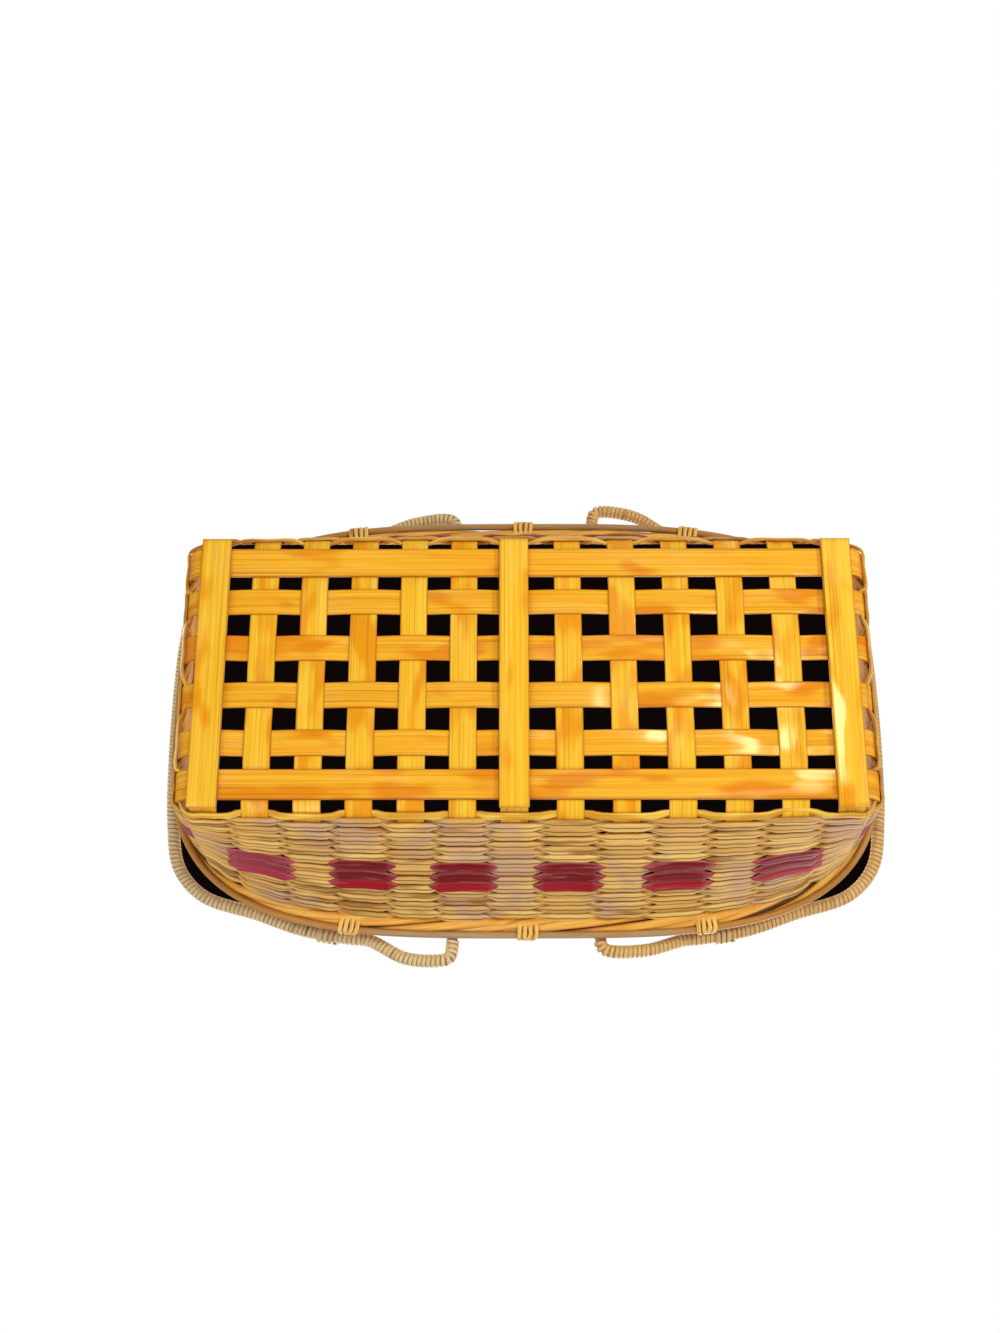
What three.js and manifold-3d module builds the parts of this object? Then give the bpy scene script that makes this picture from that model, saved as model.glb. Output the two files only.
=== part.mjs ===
// A shallow harvest basket. Bamboo splints plait the base and turn up as the stakes of a flared reed wall,
// which ends in a bound rim with two cane-wrapped swing handles. Millimetres, +Z up, front at -Y, origin on
// the floor under the middle of the base.
import * as THREE from "three";
import { mergeVertices } from "three/addons/utils/BufferGeometryUtils.js";
import Module from "manifold-3d";

// Driving dimensions of the base
const BASE_LENGTH = 380; // between the feet of the end walls
const BASE_WIDTH = 161; // between the feet of the long walls
const CROSS_COUNT = 13; // splints that run from front to back, an odd number
const MIDDLE_OFFSET = 7; // of the middle one and its runner from the base's middle
const ROW_COUNT = 4; // splints that run from end to end
const SPLINT_WIDTH = 15;
const SPLINT_THICK = 1.2;
const EDGE_SLAT_WIDTH = 17;
const EDGE_SLAT_THICK = 2;
const RUNNER_WIDTH = 16.5;
const RUNNER_THICK = 2.6;
const RUNNER_SETBACK = 1; // of a runner's ends from the feet of the long walls
const CORNER_ROOM_X = 7.3; // from the last cross splint to the end wall
const CORNER_ROOM_Y = 6; // from an edge slat to the long wall
const ROW_TO_SLAT = 24; // from the outer row to the edge slat, centre to centre
const FOOT_BEND = 4; // length of the bend where a splint turns up

// Driving dimensions of the wall and rim
const END_FLARE = 19; // of the hoop's outer edge past the feet of the end walls
const SIDE_FLARE = 50.5; // of the hoop's outer edge past the feet of the long walls
const RIM_TOP = 96; // height of the border's top
const RIM_SQUARENESS = 3.4; // exponent of the rim's superellipse
const WEAVER_THICK = 1.8;
const COURSE_GAP = 0.8; // between one course and the next
const BORDER_THICK = 11;
const BORDER_HEIGHT = 12;
const HOOP_DIAMETER = 4;
const HOOP_LEAN = 35; // degrees below level, from the border's centre to the hoop's
const CANE_WIDTH = 2.4; // cane of the lashings and whippings
const CANE_THICK = 0.8;
const CANE_PITCH = 3.1;
const LASHING_TURNS = 3;
const LASHING_SPACING = 101; // along the long sides, from the middle one

// Driving dimensions of the handles
const ROD_DIAMETER = 6;
const WRAP_THICK = 1;
const PIVOT_SPACING = 84; // between the pivots of the two handles
const PIVOT_RISE = 1; // of the pivots above the middle of the border
const WIDE_BOW = 11.4; // of the crowns of the front right and back left tails outside the hoop
const CLOSE_BOW = 6.2; // of the crowns of the other two tails
const ELBOW_REACH = 6; // of a tail's bend along the rim
const RISE_LENGTH = 42; // along the rim, from a tail's crown to the leg
const RISE_BOW = 0.9; // share of its bow that a tail has half way up
const LEG_OUT = 0.6; // of a leg's centre line outside the hoop
const LEG_RISE = 1.6; // of the folded handle's centre line above the border's top
const BIGHT_OVERHANG = 0.2; // of the folded handle's middle past the hoop
const BIGHT_FLAT = 46; // length of the straight middle of the grip
const HANDLE_CORNER = [
  [0.895, 0.785],
  [0.967, 0.657],
  [0.992, 0.45],
]; // places on it, in shares of the rim's half length and half width
const KNOT_DIAMETER = 11;
const KNOT_LENGTH = 4;

// Clearances between neighbours, and how finely curves are cut
const GAP = 0.3;
const WALL_GAP = 0.55; // between a stake and the weavers round it
const EDGE_EASE = 0.6; // that a strand passes an edge by before it turns
const TWIST_STEP = 6; // degrees of twist in one step of a stake
const RIM_SAMPLES = 360;
const RIM_STEPS = 60;
const BORDER_SIDES = 8;
const HOOP_SIDES = 6;
const ROUND_SIDES = 12; // of the border's holes and the knots
const ROD_SIDES = 6;
const ROD_SPAN_STEPS = 3; // between one point of a handle's path and the next
const COIL_STEPS = 12;

// A wall course: the share of the wall that it fills, its name and whether it is dyed
const COURSES = [
  { name: "lower_course_1", from: 0.05, to: 0.18 },
  { name: "lower_course_2", from: 0.18, to: 0.315 },
  { name: "lower_course_3", from: 0.315, to: 0.45 },
  { name: "dyed_course_1", from: 0.45, to: 0.553, dyed: true },
  { name: "band_course", from: 0.553, to: 0.657 },
  { name: "dyed_course_2", from: 0.657, to: 0.76, dyed: true },
  { name: "upper_course_1", from: 0.76, to: 0.88 },
  { name: "upper_course_2", from: 0.88, to: 0.99 },
];

const bamboo = new THREE.MeshStandardMaterial({ color: 0xe6a83c, roughness: 0.4 });
const reed = new THREE.MeshStandardMaterial({ color: 0xb79057, roughness: 0.7 });
const dyedReed = new THREE.MeshStandardMaterial({ color: 0x96202a, roughness: 0.7 });
const borderCane = new THREE.MeshStandardMaterial({ color: 0xcf9244, roughness: 0.5 });
const handleCane = new THREE.MeshStandardMaterial({ color: 0xbf9a66, roughness: 0.6 });
const rattan = new THREE.MeshStandardMaterial({ color: 0xa98d66, roughness: 0.7 });

const wasm = await Module();
wasm.setup();
const basket = new THREE.Group();
const vec = (x, y, z) => new THREE.Vector3(x, y, z);
const Z_AXIS = vec(0, 0, 1);

// Levels of the base, from the floor up
const slatZ = RUNNER_THICK + GAP + EDGE_SLAT_THICK / 2;
const upperZ = slatZ + EDGE_SLAT_THICK / 2 + GAP + SPLINT_THICK / 2;
const lowerZ = upperZ - SPLINT_THICK - GAP;

// The border's centre line, from the hoop's outer edge and the lean between the two
const lean = -THREE.MathUtils.degToRad(HOOP_LEAN);
const borderReach = Math.hypot((BORDER_THICK / 2) * Math.cos(lean), (BORDER_HEIGHT / 2) * Math.sin(lean));
const hoopReach = borderReach + GAP + HOOP_DIAMETER / 2;
const hoopOut = hoopReach * Math.cos(lean);
const hoopUp = hoopReach * Math.sin(lean);
const edgeX = BASE_LENGTH / 2 + END_FLARE;
const edgeY = BASE_WIDTH / 2 + SIDE_FLARE;
const rimHalfX = edgeX - HOOP_DIAMETER / 2 - hoopOut;
const rimHalfY = edgeY - HOOP_DIAMETER / 2 - hoopOut;
const borderZ = RIM_TOP - BORDER_HEIGHT / 2;
const stakeShare = (below) => (borderZ - BORDER_HEIGHT / 2 - below - upperZ) / (borderZ - upperZ);
const wallEnd = stakeShare(GAP);

// How far the middle of a wound cane lies over its core, with room for the flats between its steps
const coilLift = (radius) => GAP + CANE_THICK / 2 + radius * (1 / Math.cos(Math.PI / COIL_STEPS) - 1);
const lashingDepth = coilLift(BORDER_HEIGHT / 2) + CANE_THICK / 2;
const lashingX = [-LASHING_SPACING, 0, LASHING_SPACING];

// Adds a named piece to the basket.
function addPiece(name, geometry, material) {
  const mesh = new THREE.Mesh(geometry, material);
  mesh.name = name;
  basket.add(mesh);
}

// The volume that a closed mesh's triangles turn round, negative when they face in.
function signedVolume(points, index) {
  let volume = 0;
  for (let i = 0; i < index.length; i += 3) {
    const [a, b, c] = [points[index[i]], points[index[i + 1]], points[index[i + 2]]];
    volume += a.dot(b.clone().cross(c)) / 6;
  }
  return volume;
}

// A closed solid through a row of sections with equal counts of points, capped at its ends unless a ring.
function sweep(sections, isRing = false) {
  const sides = sections[0].length;
  const points = sections.flat();
  const index = [];
  const last = isRing ? sections.length : sections.length - 1;
  for (let i = 0; i < last; i++) {
    const next = ((i + 1) % sections.length) * sides;
    for (let j = 0; j < sides; j++) {
      const k = (j + 1) % sides;
      const here = i * sides;
      index.push(here + j, here + k, next + k, here + j, next + k, next + j);
    }
  }
  if (!isRing) {
    const end = points.length - sides;
    for (let j = 1; j < sides - 1; j++) {
      index.push(0, j + 1, j, end, end + j, end + j + 1);
    }
  }
  if (signedVolume(points, index) < 0) index.reverse();
  const geometry = new THREE.BufferGeometry().setFromPoints(points);
  return geometry.setIndex(index);
}

// A flat strip along stations of a place, a unit width direction and a half width, mitred at each bend.
function ribbon(stations, thick) {
  const steps = stations.slice(1).map((s, i) => s.at.clone().sub(stations[i].at).normalize());
  const sections = stations.map(({ at, wide, half }, i) => {
    const before = wide.clone().cross(steps[Math.max(i - 1, 0)]).normalize();
    const after = wide.clone().cross(steps[Math.min(i, steps.length - 1)]).normalize();
    const mitre = before.clone().add(after).normalize();
    const out = mitre.clone().multiplyScalar(thick / 2 / mitre.dot(before));
    const side = wide.clone().multiplyScalar(half);
    return corners(at, side, out);
  });
  return sweep(sections);
}

// The four corners round a place, at plus and minus each of two half sides.
function corners(at, side, out) {
  return [
    at.clone().add(side).add(out),
    at.clone().sub(side).add(out),
    at.clone().sub(side).sub(out),
    at.clone().add(side).sub(out),
  ];
}

// Half the rim's width at a distance along it, and half its length at a distance across it.
const rimY = (x) => rimHalfY * (1 - Math.abs(x / rimHalfX) ** RIM_SQUARENESS) ** (1 / RIM_SQUARENESS);
const rimX = (y) => rimHalfX * (1 - Math.abs(y / rimHalfY) ** RIM_SQUARENESS) ** (1 / RIM_SQUARENESS);

// The rim's level outward direction at a point of the border's centre line.
function rimOut(x, y) {
  const power = RIM_SQUARENESS - 1;
  const alongX = (Math.sign(x) * Math.abs(x / rimHalfX) ** power) / rimHalfX;
  const alongY = (Math.sign(y) * Math.abs(y / rimHalfY) ** power) / rimHalfY;
  return vec(alongX, alongY, 0).normalize();
}

// Places of the splints across the base
const crossX = Array.from({ length: CROSS_COUNT }, (_, k) => {
  const end = BASE_LENGTH / 2 - CORNER_ROOM_X - SPLINT_WIDTH / 2;
  const share = (2 * k) / (CROSS_COUNT - 1) - 1;
  return MIDDLE_OFFSET + share * (end - Math.sign(share) * MIDDLE_OFFSET);
});
const slatY = BASE_WIDTH / 2 - CORNER_ROOM_Y - EDGE_SLAT_WIDTH / 2;
const rowY = Array.from({ length: ROW_COUNT }, (_, r) => {
  const end = slatY - ROW_TO_SLAT;
  return -end + (2 * end * r) / (ROW_COUNT - 1);
});
const longY = [-slatY, ...rowY, slatY];
const longWidth = longY.map((_, r) => (r === 0 || r > ROW_COUNT ? EDGE_SLAT_WIDTH : SPLINT_WIDTH));

// A stake stands on the foot of a wall and leans out to the rim, in the upright plane of its splint. It ends
// under the border, or under the lashing where it meets one.
function makeStake(footX, footY, footOut, width) {
  const top = footOut.x ? vec(footOut.x * rimX(footY), footY, 0) : vec(footX, footOut.y * rimY(footX), 0);
  const lashingReach = (LASHING_TURNS * CANE_PITCH + CANE_WIDTH + width) / 2 + GAP;
  const isLashed = !footOut.x && lashingX.some((x) => Math.abs(x - footX) < lashingReach);
  return {
    end: isLashed ? stakeShare(GAP + lashingDepth) : wallEnd,
    foot: vec(footX, footY, upperZ),
    top: vec(top.x, top.y, borderZ),
    footOut,
    topOut: rimOut(top.x, top.y),
    width,
  };
}
const halfLength = BASE_LENGTH / 2;
const halfWidth = BASE_WIDTH / 2;
const frontStakes = crossX.map((x) => makeStake(x, -halfWidth, vec(0, -1, 0), SPLINT_WIDTH));
const backStakes = crossX.map((x) => makeStake(x, halfWidth, vec(0, 1, 0), SPLINT_WIDTH));
const rightStakes = longY.map((y, r) => makeStake(halfLength, y, vec(1, 0, 0), longWidth[r]));
const leftStakes = longY.map((y, r) => makeStake(-halfLength, y, vec(-1, 0, 0), longWidth[r]));
const wallStakes = [...frontStakes, ...rightStakes, ...backStakes.toReversed(), ...leftStakes.toReversed()];

// A stake's centre, its width direction (counterclockwise from above) and its outward direction, part way up.
function wallFrame(stake, share) {
  const at = stake.foot.clone().lerp(stake.top, share);
  const out = stake.footOut.clone().lerp(stake.topOut, share).normalize();
  const wide = Z_AXIS.clone().cross(out);
  const up = stake.top.clone().sub(stake.foot).normalize();
  const normal = wide.clone().cross(up).normalize();
  return { at, wide, normal };
}

// Stations up a stake, past the bend at its foot, with more of them where it twists to follow the rim.
function stakeStations(stake, flip) {
  const twist = THREE.MathUtils.radToDeg(stake.footOut.angleTo(stake.topOut));
  const count = 1 + Math.ceil(twist / TWIST_STEP);
  const start = FOOT_BEND / stake.top.distanceTo(stake.foot);
  return Array.from({ length: count + 1 }, (_, i) => {
    const { at, wide } = wallFrame(stake, start + ((stake.end - start) * i) / count);
    return { at, wide: wide.multiplyScalar(flip), half: stake.width / 2 };
  });
}

// Stations over or under each strand that a splint crosses on the base.
function plaitStations(crossed, place, wide, half) {
  return crossed.flatMap(({ centre, reach, level }) =>
    [centre - reach, centre + reach].map((along) => ({ at: place(along, level), wide, half })),
  );
}

// A splint from the top of one wall, down, through the base and up the opposite wall.
function turnedUpSplint(startStake, endStake, base, thick) {
  const down = stakeStations(startStake, -1).reverse();
  return ribbon([...down, ...base, ...stakeStations(endStake, 1)], thick);
}

// Cross splints go over every edge slat, and over and under the rows by turns.
crossX.forEach((x, k) => {
  const crossed = longY.map((centre, r) => ({
    centre: -centre,
    reach: longWidth[r] / 2 + EDGE_EASE,
    level: r === 0 || r > ROW_COUNT || (r + k) % 2 === 1 ? upperZ : lowerZ,
  }));
  const place = (along, level) => vec(x, -along, level);
  const base = plaitStations(crossed.reverse(), place, vec(1, 0, 0), SPLINT_WIDTH / 2);
  const bend = (side) => {
    const at = vec(x, side * (halfWidth - FOOT_BEND), upperZ);
    return { at, wide: vec(1, 0, 0), half: SPLINT_WIDTH / 2 };
  };
  const number = String(k + 1).padStart(2, "0");
  const stations = [bend(1), ...base, bend(-1)];
  const splint = turnedUpSplint(backStakes[k], frontStakes[k], stations, SPLINT_THICK);
  addPiece(`cross_splint_${number}`, splint, bamboo);
});

// Rows pass under the cross splints where those go over, and edge slats pass under them all.
longY.forEach((y, r) => {
  const isSlat = r === 0 || r > ROW_COUNT;
  const half = longWidth[r] / 2;
  const crossed = crossX.map((centre, k) => ({
    centre,
    reach: SPLINT_WIDTH / 2 + EDGE_EASE,
    level: (r + k) % 2 === 1 ? lowerZ : upperZ,
  }));
  const ends = [crossed[0], crossed[CROSS_COUNT - 1]];
  const place = (along, level) => vec(along, y, isSlat ? slatZ : level);
  const base = plaitStations(isSlat ? ends : crossed, place, vec(0, 1, 0), half);
  const splint = turnedUpSplint(leftStakes[r], rightStakes[r], base, isSlat ? EDGE_SLAT_THICK : SPLINT_THICK);
  const slatName = r === 0 ? "edge_slat_front" : "edge_slat_back";
  addPiece(isSlat ? slatName : `long_splint_${r}`, splint, bamboo);
});

// Three runners under the base are its feet.
const runners = {
  runner_left: crossX[0],
  runner_centre: MIDDLE_OFFSET,
  runner_right: crossX[CROSS_COUNT - 1],
};
for (const [name, x] of Object.entries(runners)) {
  const runner = new THREE.BoxGeometry(RUNNER_WIDTH, BASE_WIDTH - 2 * RUNNER_SETBACK, RUNNER_THICK);
  addPiece(name, runner.translate(x, 0, RUNNER_THICK / 2), bamboo);
}

// A course goes round the wall in front of one stake and behind the next, and the courses take turns.
COURSES.forEach(({ name, from, to, dyed }, c) => {
  const sections = wallStakes.flatMap((stake, i) => {
    const isOutside = (i + c) % 2 === 0;
    const thick = stake.width === EDGE_SLAT_WIDTH ? EDGE_SLAT_THICK : SPLINT_THICK;
    const reach = thick / 2 + WALL_GAP;
    const inner = isOutside ? reach : -reach - WEAVER_THICK;
    const outer = inner + WEAVER_THICK;
    const slant = stake.top.distanceTo(stake.foot);
    const trim = COURSE_GAP / 2 / slant;
    const low = wallFrame(stake, from * wallEnd + trim);
    const high = wallFrame(stake, to * wallEnd - trim);
    const across = [-1, 1].map((way) => way * (stake.width / 2 + EDGE_EASE));
    return across.map((along) => {
      const corner = ({ at, wide, normal }, depth) =>
        at.clone().addScaledVector(wide, along).addScaledVector(normal, depth);
      return [corner(low, inner), corner(low, outer), corner(high, outer), corner(high, inner)];
    });
  });
  addPiece(name, sweep(sections, true), dyed ? dyedReed : reed);
});

// Evenly spaced places on the border's centre line, counterclockwise from the right end.
const rimCurve = new THREE.CatmullRomCurve3(
  Array.from({ length: RIM_SAMPLES }, (_, i) => {
    const angle = (2 * Math.PI * i) / RIM_SAMPLES;
    const power = 2 / RIM_SQUARENESS;
    const share = (value) => Math.sign(value) * Math.abs(value) ** power;
    return vec(rimHalfX * share(Math.cos(angle)), rimHalfY * share(Math.sin(angle)), borderZ);
  }),
  true,
);
const rimPlaces = rimCurve.getSpacedPoints(RIM_STEPS).slice(0, RIM_STEPS);

// A ring round the rim with an oval section, set out and up from the border's centre line.
function rimRing(sides, thick, height, out, up) {
  const sections = rimPlaces.map((place) => {
    const outward = rimOut(place.x, place.y);
    return Array.from({ length: sides }, (_, j) => {
      const angle = (2 * Math.PI * (j + 0.5)) / sides;
      const depth = out + (thick / 2) * Math.cos(angle);
      const lift = up + (height / 2) * Math.sin(angle);
      return place.clone().addScaledVector(outward, depth).addScaledVector(Z_AXIS, lift);
    });
  });
  return sweep(sections, true);
}

// A geometry as a solid for cutting, and back.
function toSolid(geometry) {
  const bare = new THREE.BufferGeometry().setAttribute("position", geometry.getAttribute("position"));
  const merged = mergeVertices(bare.setIndex(geometry.index));
  const mesh = new wasm.Mesh({
    numProp: 3,
    vertProperties: Float32Array.from(merged.getAttribute("position").array),
    triVerts: Uint32Array.from(merged.index.array),
  });
  return new wasm.Manifold(mesh);
}
function fromSolid(solid) {
  const { vertProperties, triVerts } = solid.getMesh();
  const geometry = new THREE.BufferGeometry();
  geometry.setAttribute("position", new THREE.BufferAttribute(vertProperties, 3));
  return geometry.setIndex(new THREE.BufferAttribute(triVerts, 1));
}

// The border, with a hole for each handle's turned-in end, and the hoop round its lower edge.
const pivotX = PIVOT_SPACING / 2;
const pivotY = rimY(pivotX);
const pivotZ = borderZ + PIVOT_RISE;
const rodRadius = ROD_DIAMETER / 2;
const holeRadius = rodRadius + GAP;
let border = toSolid(rimRing(BORDER_SIDES, BORDER_THICK, BORDER_HEIGHT, 0, 0));
for (const [sideX, sideY] of [[1, 1], [1, -1], [-1, 1], [-1, -1]]) {
  const hole = new THREE.CylinderGeometry(holeRadius, holeRadius, 2 * BORDER_THICK, ROUND_SIDES);
  border = border.subtract(toSolid(hole.translate(sideX * pivotX, sideY * pivotY, pivotZ)));
}
addPiece("rim_border", fromSolid(border), borderCane);
addPiece("rim_hoop", rimRing(HOOP_SIDES, HOOP_DIAMETER, HOOP_DIAMETER, hoopOut, hoopUp), rattan);

// One unbroken cane wound round an axis, over the outline that reach gives for a direction out and up.
function windCane(centre, axis, out, up, reach) {
  const count = LASHING_TURNS * COIL_STEPS;
  const places = [];
  const sections = Array.from({ length: count + 1 }, (_, i) => {
    const angle = Math.PI + (2 * Math.PI * i) / COIL_STEPS;
    const along = CANE_PITCH * (i / COIL_STEPS - LASHING_TURNS / 2);
    const direction = out.clone().multiplyScalar(Math.cos(angle)).addScaledVector(up, Math.sin(angle));
    const [reachOut, reachUp] = reach(Math.cos(angle), Math.sin(angle));
    const place = centre.clone().addScaledVector(axis, along);
    place.addScaledVector(out, reachOut).addScaledVector(up, reachUp);
    places.push(place);
    const side = axis.clone().multiplyScalar(CANE_WIDTH / 2);
    return corners(place, side, direction.multiplyScalar(CANE_THICK / 2));
  });
  return { geometry: sweep(sections), gap: leastGap(places) };
}

// The least gap between a wound cane's turns, measured on its points.
function leastGap(places) {
  let least = Infinity;
  for (let i = 0; i < places.length; i++) {
    for (let j = i + COIL_STEPS / 2; j < places.length; j++) {
      least = Math.min(least, places[i].distanceTo(places[j]) - CANE_WIDTH);
    }
  }
  return least;
}

// The place on the outline round border and hoop together that lies furthest in one direction.
function reachRoundRim(cos, sin) {
  const [a, b] = [BORDER_THICK / 2, BORDER_HEIGHT / 2];
  const reachBorder = Math.hypot(a * cos, b * sin);
  const reachHoop = hoopOut * cos + hoopUp * sin + HOOP_DIAMETER / 2;
  const lift = coilLift(b);
  if (reachBorder >= reachHoop) {
    return [(a * a * cos) / reachBorder + lift * cos, (b * b * sin) / reachBorder + lift * sin];
  }
  const radius = HOOP_DIAMETER / 2 + lift;
  return [hoopOut + radius * cos, hoopUp + radius * sin];
}

// Lashings bind border and hoop at three places on each long side.
const lashingGaps = [];
for (const [sideName, sideY] of [["front", -1], ["back", 1]]) {
  for (const [i, placeName] of ["left", "middle", "right"].entries()) {
    const x = lashingX[i];
    const place = vec(x, sideY * rimY(x), borderZ);
    const out = rimOut(place.x, place.y);
    const coil = windCane(place, Z_AXIS.clone().cross(out), out, Z_AXIS, reachRoundRim);
    lashingGaps.push(coil.gap);
    addPiece(`lashing_${sideName}_${placeName}`, coil.geometry, borderCane);
  }
}
console.log(`least gap between the turns of a lashing: ${Math.min(...lashingGaps).toFixed(2)} mm`);

// The right handle's path, folded down: out through the border, over the hoop and round a tail, then level
// along the lashings, round the corner and over the border's shoulder at the end.
const wrapRadius = holeRadius + WRAP_THICK;
const hoopEdge = (x) => rimY(x) + hoopOut + HOOP_DIAMETER / 2;
const legY = (x) => hoopEdge(x) + LEG_OUT;
const legEnd = (LASHING_SPACING + edgeX) / 2;
const legMiddle = (LASHING_SPACING + legEnd) / 2;
const knotY = pivotY - BORDER_THICK / 2 - 2 * GAP - KNOT_LENGTH / 2;
const crownX = pivotX + ELBOW_REACH;
const riseX = crownX + RISE_LENGTH / 2;
const legStart = crownX + RISE_LENGTH;
const elbowCut = ELBOW_REACH * (1 - Math.SQRT1_2);
const legZ = RIM_TOP + LEG_RISE;
function legPath(bow) {
  const crownY = hoopEdge(pivotX) + bow;
  return [
    [pivotX, knotY - KNOT_LENGTH / 2 - GAP, pivotZ],
    [pivotX, pivotY, pivotZ],
    [pivotX, hoopEdge(pivotX) + GAP, pivotZ],
    [pivotX + elbowCut, crownY - elbowCut, pivotZ],
    [crownX, crownY, pivotZ],
    [riseX, hoopEdge(riseX) + RISE_BOW * bow, (pivotZ + legZ) / 2],
    [legStart, legY(legStart), legZ],
    [LASHING_SPACING, legY(LASHING_SPACING), legZ],
    [legMiddle, legY(legMiddle), legZ],
    [legEnd, legY(legEnd), legZ],
    ...HANDLE_CORNER.map(([shareX, shareY]) => [shareX * edgeX, shareY * edgeY, legZ]),
    [edgeX + BIGHT_OVERHANG, BIGHT_FLAT / 2, legZ],
  ];
}
const backLeg = legPath(CLOSE_BOW);
const frontLeg = legPath(WIDE_BOW).map(([x, y, z]) => [x, -y, z]).reverse();
const lashedPoint = backLeg.findIndex(([x]) => x === LASHING_SPACING);
const rodCurve = new THREE.CatmullRomCurve3([...backLeg, ...frontLeg].map(([x, y, z]) => vec(x, y, z)));
const spans = 2 * backLeg.length - 1;
const rodSteps = spans * ROD_SPAN_STEPS;

// The rod's level and upward directions across it, part way along its path.
function rodFrame(share) {
  const forward = rodCurve.getTangent(share);
  const across = forward.clone().cross(Z_AXIS).normalize();
  return { forward, across, upward: across.clone().cross(forward) };
}

// A ring of points round the rod, part way along its path.
function rodRing(share, radius, turn) {
  const at = rodCurve.getPoint(share);
  const { across, upward } = rodFrame(share);
  return Array.from({ length: ROD_SIDES }, (_, j) => {
    const angle = (2 * Math.PI * j) / ROD_SIDES;
    const point = at.clone().addScaledVector(across, radius * Math.cos(angle));
    return point.addScaledVector(upward, radius * Math.sin(angle)).multiply(turn);
  });
}

// The wrap is a sleeve on the rod, from outside one border hole round to the other.
function wrapSleeve(turn) {
  const first = 2 * ROD_SPAN_STEPS; // at the path's third point, just outside the hoop
  const steps = Array.from({ length: rodSteps + 1 - 2 * first }, (_, i) => (i + first) / rodSteps);
  const outer = steps.map((share) => rodRing(share, wrapRadius, turn));
  const inner = steps.map((share) => rodRing(share, holeRadius, turn)).reverse();
  const loops = Array.from({ length: ROD_SIDES }, (_, j) => [...outer, ...inner].map((ring) => ring[j]));
  return sweep(loops, true);
}

// A knot on the rod's inner end keeps it in its hole.
function pivotKnot() {
  const outer = KNOT_DIAMETER / 2;
  const half = KNOT_LENGTH / 2;
  const rounding = half / 2;
  const profile = [
    [holeRadius, -half],
    [outer - rounding, -half],
    [outer, -half + rounding],
    [outer, half - rounding],
    [outer - rounding, half],
    [holeRadius, half],
    [holeRadius, -half],
  ];
  return new THREE.LatheGeometry(profile.map(([r, y]) => new THREE.Vector2(r, y)), ROUND_SIDES);
}

// Two handles, the left one turned half round from the right. Each has a whipping on both of its legs, just
// past the lashing.
const whippingShare = (lashedPoint + 0.5) / spans;
const whippingRadius = wrapRadius + coilLift(wrapRadius);
const roundWrap = (cos, sin) => [whippingRadius * cos, whippingRadius * sin];
for (const [sideName, side] of [["right", 1], ["left", -1]]) {
  const turn = vec(side, side, 1);
  const steps = Array.from({ length: rodSteps + 1 }, (_, i) => i / rodSteps);
  addPiece(`handle_rod_${sideName}`, sweep(steps.map((share) => rodRing(share, rodRadius, turn))), rattan);
  addPiece(`handle_wrap_${sideName}`, wrapSleeve(turn), handleCane);
  for (const [endName, end] of [["front", -1], ["back", 1]]) {
    const knot = pivotKnot().translate(side * pivotX, end * knotY, pivotZ);
    addPiece(`pivot_knot_${endName}_${sideName}`, knot, rattan);
    const share = end * side > 0 ? whippingShare : 1 - whippingShare;
    const { forward, across, upward } = rodFrame(share);
    const [axis, out, up] = [forward, across, upward].map((direction) => direction.multiply(turn));
    const coil = windCane(rodCurve.getPoint(share).multiply(turn), axis, out, up, roundWrap);
    console.log(`least gap between the turns of whipping ${endName} ${sideName}: ${coil.gap.toFixed(2)} mm`);
    addPiece(`whipping_${endName}_${sideName}`, coil.geometry, borderCane);
  }
}

export default basket;
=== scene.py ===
"""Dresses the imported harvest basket: single reed rows, plaited bamboo, bound border and wrapped handles."""

import math
from dataclasses import dataclass

import bpy
import numpy as np
from mathutils import Matrix, Vector


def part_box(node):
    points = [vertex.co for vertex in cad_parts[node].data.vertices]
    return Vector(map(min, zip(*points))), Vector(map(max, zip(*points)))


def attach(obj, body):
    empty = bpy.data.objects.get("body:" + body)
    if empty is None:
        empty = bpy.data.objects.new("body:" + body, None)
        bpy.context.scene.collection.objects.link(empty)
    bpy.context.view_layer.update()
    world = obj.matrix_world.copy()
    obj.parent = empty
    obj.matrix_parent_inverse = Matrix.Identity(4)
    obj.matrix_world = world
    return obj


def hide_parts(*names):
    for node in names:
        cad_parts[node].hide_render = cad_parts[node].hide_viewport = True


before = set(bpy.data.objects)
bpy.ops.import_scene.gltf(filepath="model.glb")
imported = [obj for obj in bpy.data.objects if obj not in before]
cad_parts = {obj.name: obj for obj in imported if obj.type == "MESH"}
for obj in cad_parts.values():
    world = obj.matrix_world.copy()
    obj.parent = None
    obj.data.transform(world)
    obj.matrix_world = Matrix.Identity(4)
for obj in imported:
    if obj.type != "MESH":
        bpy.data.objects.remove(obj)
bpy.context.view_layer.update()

MM = 0.001
UP = np.array([0.0, 0.0, 1.0])
chance = np.random.default_rng(seed=17)

# Sizes of the base and wall, as in the solids
CROSS_COUNT = 13
LONG_COUNT = 4
BASE_LENGTH = 380 * MM
BASE_WIDTH = 161 * MM
SPLINT_WIDTH = 15 * MM
SPLINT_THICK = 1.2 * MM
SLAT_WIDTH = 17 * MM
SLAT_THICK = 2 * MM
FOOT_BEND = 4 * MM  # length of the bend where a splint turns up
END_FLARE = 19 * MM  # of the hoop's outer edge past the feet of the walls
SIDE_FLARE = 50.5 * MM
RIM_TOP = 96 * MM
RIM_SQUARENESS = 3.4
NEIGHBOUR_GAP = 0.3 * MM

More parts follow.
